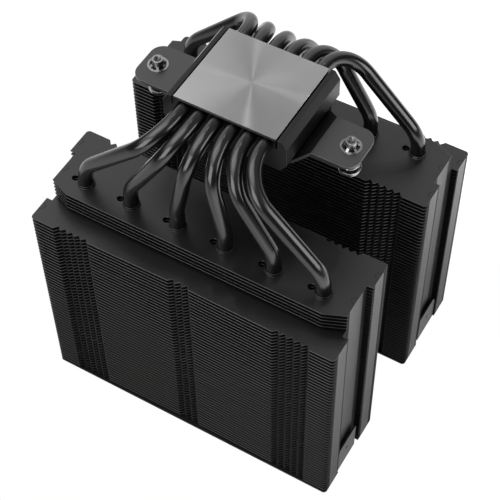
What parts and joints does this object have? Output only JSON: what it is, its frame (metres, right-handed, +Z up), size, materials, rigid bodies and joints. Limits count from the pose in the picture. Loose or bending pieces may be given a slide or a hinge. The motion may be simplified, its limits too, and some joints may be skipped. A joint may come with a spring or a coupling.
{
  "type": "processor tower cooler",
  "caption": "Twin-tower heat-pipe processor cooler without fans, upside down with its contact plate up and sprung mounting nuts on a bent bracket.",
  "frame": {"origin": "centre of the footprint on the surface that the top covers stand on, straight under the centre of the contact plate", "axes": "+X along the fins' long edges, towards the right nut; +Y from the front tower to the rear tower; +Z up, out of the contact face"},
  "size_m": [0.135, 0.1156, 0.161],
  "materials": {
    "fin_black": "matte black coating on thin stamped sheet",
    "cover_black": "satin black coating",
    "pipe_black": "satin black coating on copper tube",
    "sintered_copper": "sintered copper powder lining",
    "polished_plate": "nickel plated and face-turned to a mirror",
    "block_black": "matte black coating with worn bright edges",
    "bracket_black": "matte black powder coating",
    "hardware_dark": "bright to dark nickel plating"
  },
  "bodies": {
    "cooler": {"contact_plate": "polished_plate", "base_block": "block_black", "mounting_bracket": "bracket_black", "bracket_screws": "hardware_dark", "heat_pipe_1": "pipe_black", "heat_pipe_2": "pipe_black", "heat_pipe_3": "pipe_black", "heat_pipe_4": "pipe_black", "heat_pipe_5": "pipe_black", "heat_pipe_6": "pipe_black", "pipe_wick_1": "sintered_copper", "pipe_wick_2": "sintered_copper", "pipe_wick_3": "sintered_copper", "pipe_wick_4": "sintered_copper", "pipe_wick_5": "sintered_copper", "pipe_wick_6": "sintered_copper", "front_top_cover": "cover_black", "rear_top_cover": "cover_black", "front_short_fins": "fin_black", "rear_short_fins": "fin_black", "front_fins_1": "fin_black", "front_fins_2": "fin_black", "front_fins_3": "fin_black", "front_fins_4": "fin_black", "front_fins_5": "fin_black", "rear_fins_1": "fin_black", "rear_fins_2": "fin_black", "rear_fins_3": "fin_black", "rear_fins_4": "fin_black", "rear_fins_5": "fin_black", "left_spring": "hardware_dark", "right_spring": "hardware_dark"},
    "left_washer": {"left_retaining_washer": "hardware_dark"},
    "left_nut": {"left_mount_nut": "hardware_dark"},
    "right_washer": {"right_retaining_washer": "hardware_dark"},
    "right_nut": {"right_mount_nut": "hardware_dark"}
  },
  "joints": [
    {"name": "left_nut_press", "type": "slide", "parent": "cooler", "child": "left_washer", "axis": [0, 0, 1], "range_m": [0, 0.0035], "stiffness_N_per_m": 2500, "springref_m": -0.002, "deforming": ["left_spring"]},
    {"name": "left_nut_turn", "type": "hinge", "parent": "left_washer", "child": "left_nut", "pos_m": [-0.0415, 0, 0.1491], "axis": [0, 0, 1], "continuous": true},
    {"name": "right_nut_press", "type": "slide", "parent": "cooler", "child": "right_washer", "axis": [0, 0, 1], "range_m": [0, 0.0035], "stiffness_N_per_m": 2500, "springref_m": -0.002, "deforming": ["right_spring"]},
    {"name": "right_nut_turn", "type": "hinge", "parent": "right_washer", "child": "right_nut", "pos_m": [0.0415, 0, 0.1491], "axis": [0, 0, 1], "continuous": true}
  ]
}
